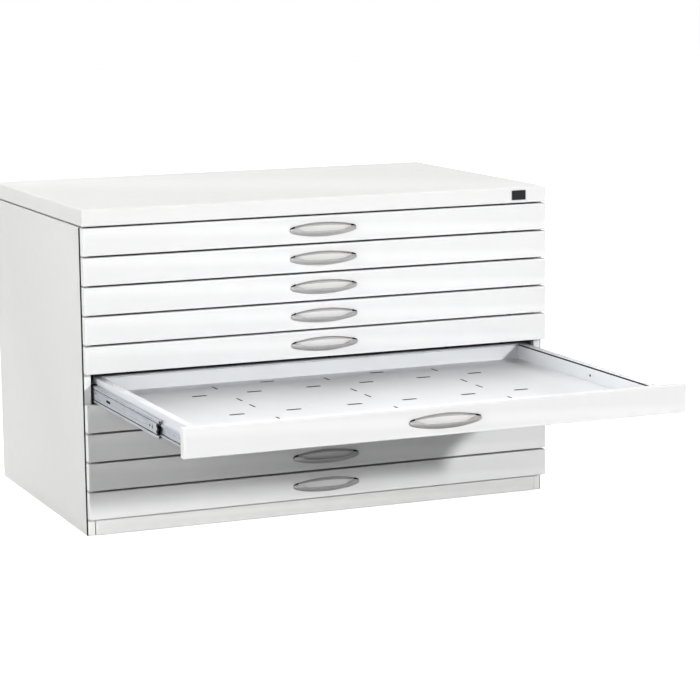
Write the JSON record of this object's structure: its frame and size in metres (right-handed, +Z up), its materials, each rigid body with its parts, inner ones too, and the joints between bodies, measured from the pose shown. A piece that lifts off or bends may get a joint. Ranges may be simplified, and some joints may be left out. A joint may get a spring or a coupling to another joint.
{
  "type": "flat file cabinet",
  "caption": "Wide steel cabinet of shallow drawers on telescopic rails, for storing large sheets of paper flat.",
  "frame": {"origin": "on the floor, in the middle of the carcass's footprint (the open drawer isn't counted)", "axes": "+Z up, +Y towards the back wall, drawers open towards -Y, +X to the right seen from the front"},
  "size_m": [1.175, 1.4632, 0.76],
  "materials": {
    "carcass_paint": "fine textured white powder coat",
    "front_paint": "satin white powder coat",
    "tray_paint": "satin pale grey-white powder coat",
    "zinc_plate": "bright zinc plate with a blue cast",
    "satin_silver": "satin silver",
    "badge_grey": "satin dark grey"
  },
  "bodies": {
    "carcass": {"top_cover": "carcass_paint", "top_deck": "carcass_paint", "side_panel_left": "carcass_paint", "side_panel_right": "carcass_paint", "back_panel": "carcass_paint", "base_panel": "carcass_paint", "plinth_panel": "carcass_paint", "rail_rack_left": "zinc_plate", "rail_rack_right": "zinc_plate", "badge_plate": "badge_grey"},
    "drawer_01": {"tray_01": "tray_paint", "drawer_front_01": "front_paint", "handle_01": "satin_silver"},
    "middle_rails_01": {"middle_rail_left_01": "zinc_plate", "middle_rail_right_01": "zinc_plate"},
    "drawer_02": {"tray_02": "tray_paint", "drawer_front_02": "front_paint", "handle_02": "satin_silver"},
    "middle_rails_02": {"middle_rail_left_02": "zinc_plate", "middle_rail_right_02": "zinc_plate"},
    "drawer_03": {"tray_03": "tray_paint", "drawer_front_03": "front_paint", "handle_03": "satin_silver"},
    "middle_rails_03": {"middle_rail_left_03": "zinc_plate", "middle_rail_right_03": "zinc_plate"},
    "drawer_04": {"tray_04": "tray_paint", "drawer_front_04": "front_paint", "handle_04": "satin_silver"},
    "middle_rails_04": {"middle_rail_left_04": "zinc_plate", "middle_rail_right_04": "zinc_plate"},
    "drawer_05": {"tray_05": "tray_paint", "drawer_front_05": "front_paint", "handle_05": "satin_silver"},
    "middle_rails_05": {"middle_rail_left_05": "zinc_plate", "middle_rail_right_05": "zinc_plate"},
    "drawer_06": {"tray_06": "tray_paint", "drawer_front_06": "front_paint", "handle_06": "satin_silver"},
    "middle_rails_06": {"middle_rail_left_06": "zinc_plate", "middle_rail_right_06": "zinc_plate"},
    "drawer_07": {"tray_07": "tray_paint", "drawer_front_07": "front_paint", "handle_07": "satin_silver"},
    "middle_rails_07": {"middle_rail_left_07": "zinc_plate", "middle_rail_right_07": "zinc_plate"},
    "drawer_08": {"tray_08": "tray_paint", "drawer_front_08": "front_paint", "handle_08": "satin_silver"},
    "middle_rails_08": {"middle_rail_left_08": "zinc_plate", "middle_rail_right_08": "zinc_plate"},
    "drawer_09": {"tray_09": "tray_paint", "drawer_front_09": "front_paint", "handle_09": "satin_silver"},
    "middle_rails_09": {"middle_rail_left_09": "zinc_plate", "middle_rail_right_09": "zinc_plate"},
    "drawer_10": {"tray_10": "tray_paint", "drawer_front_10": "front_paint", "handle_10": "satin_silver"},
    "middle_rails_10": {"middle_rail_left_10": "zinc_plate", "middle_rail_right_10": "zinc_plate"}
  },
  "joints": [
    {"name": "drawer_01_slide", "type": "slide", "parent": "carcass", "child": "drawer_01", "axis": [0, -1, 0], "range_m": [0, 0.7]},
    {"name": "middle_rails_01_slide", "type": "slide", "parent": "carcass", "child": "middle_rails_01", "axis": [0, -1, 0], "range_m": [0, 0.49]},
    {"name": "drawer_02_slide", "type": "slide", "parent": "carcass", "child": "drawer_02", "axis": [0, -1, 0], "range_m": [0, 0.7]},
    {"name": "middle_rails_02_slide", "type": "slide", "parent": "carcass", "child": "middle_rails_02", "axis": [0, -1, 0], "range_m": [0, 0.49]},
    {"name": "drawer_03_slide", "type": "slide", "parent": "carcass", "child": "drawer_03", "axis": [0, -1, 0], "range_m": [0, 0.7]},
    {"name": "middle_rails_03_slide", "type": "slide", "parent": "carcass", "child": "middle_rails_03", "axis": [0, -1, 0], "range_m": [0, 0.49]},
    {"name": "drawer_04_slide", "type": "slide", "parent": "carcass", "child": "drawer_04", "axis": [0, -1, 0], "range_m": [0, 0.7]},
    {"name": "middle_rails_04_slide", "type": "slide", "parent": "carcass", "child": "middle_rails_04", "axis": [0, -1, 0], "range_m": [0, 0.49]},
    {"name": "drawer_05_slide", "type": "slide", "parent": "carcass", "child": "drawer_05", "axis": [0, -1, 0], "range_m": [0, 0.7]},
    {"name": "middle_rails_05_slide", "type": "slide", "parent": "carcass", "child": "middle_rails_05", "axis": [0, -1, 0], "range_m": [0, 0.49]},
    {"name": "drawer_06_slide", "type": "slide", "parent": "carcass", "child": "drawer_06", "axis": [0, -1, 0], "range_m": [-0.678, 0.022]},
    {"name": "middle_rails_06_slide", "type": "slide", "parent": "carcass", "child": "middle_rails_06", "axis": [0, -1, 0], "range_m": [-0.4747, 0.0154]},
    {"name": "drawer_07_slide", "type": "slide", "parent": "carcass", "child": "drawer_07", "axis": [0, -1, 0], "range_m": [0, 0.7]},
    {"name": "middle_rails_07_slide", "type": "slide", "parent": "carcass", "child": "middle_rails_07", "axis": [0, -1, 0], "range_m": [0, 0.49]},
    {"name": "drawer_08_slide", "type": "slide", "parent": "carcass", "child": "drawer_08", "axis": [0, -1, 0], "range_m": [0, 0.7]},
    {"name": "middle_rails_08_slide", "type": "slide", "parent": "carcass", "child": "middle_rails_08", "axis": [0, -1, 0], "range_m": [0, 0.49]},
    {"name": "drawer_09_slide", "type": "slide", "parent": "carcass", "child": "drawer_09", "axis": [0, -1, 0], "range_m": [0, 0.7]},
    {"name": "middle_rails_09_slide", "type": "slide", "parent": "carcass", "child": "middle_rails_09", "axis": [0, -1, 0], "range_m": [0, 0.49]},
    {"name": "drawer_10_slide", "type": "slide", "parent": "carcass", "child": "drawer_10", "axis": [0, -1, 0], "range_m": [0, 0.7]},
    {"name": "middle_rails_10_slide", "type": "slide", "parent": "carcass", "child": "middle_rails_10", "axis": [0, -1, 0], "range_m": [0, 0.49]}
  ],
  "couplings": [
    {"joint": "middle_rails_01_slide", "follows": "drawer_01_slide", "ratio": 0.7},
    {"joint": "middle_rails_02_slide", "follows": "drawer_02_slide", "ratio": 0.7},
    {"joint": "middle_rails_03_slide", "follows": "drawer_03_slide", "ratio": 0.7},
    {"joint": "middle_rails_04_slide", "follows": "drawer_04_slide", "ratio": 0.7},
    {"joint": "middle_rails_05_slide", "follows": "drawer_05_slide", "ratio": 0.7},
    {"joint": "middle_rails_06_slide", "follows": "drawer_06_slide", "ratio": 0.7},
    {"joint": "middle_rails_07_slide", "follows": "drawer_07_slide", "ratio": 0.7},
    {"joint": "middle_rails_08_slide", "follows": "drawer_08_slide", "ratio": 0.7},
    {"joint": "middle_rails_09_slide", "follows": "drawer_09_slide", "ratio": 0.7},
    {"joint": "middle_rails_10_slide", "follows": "drawer_10_slide", "ratio": 0.7}
  ]
}
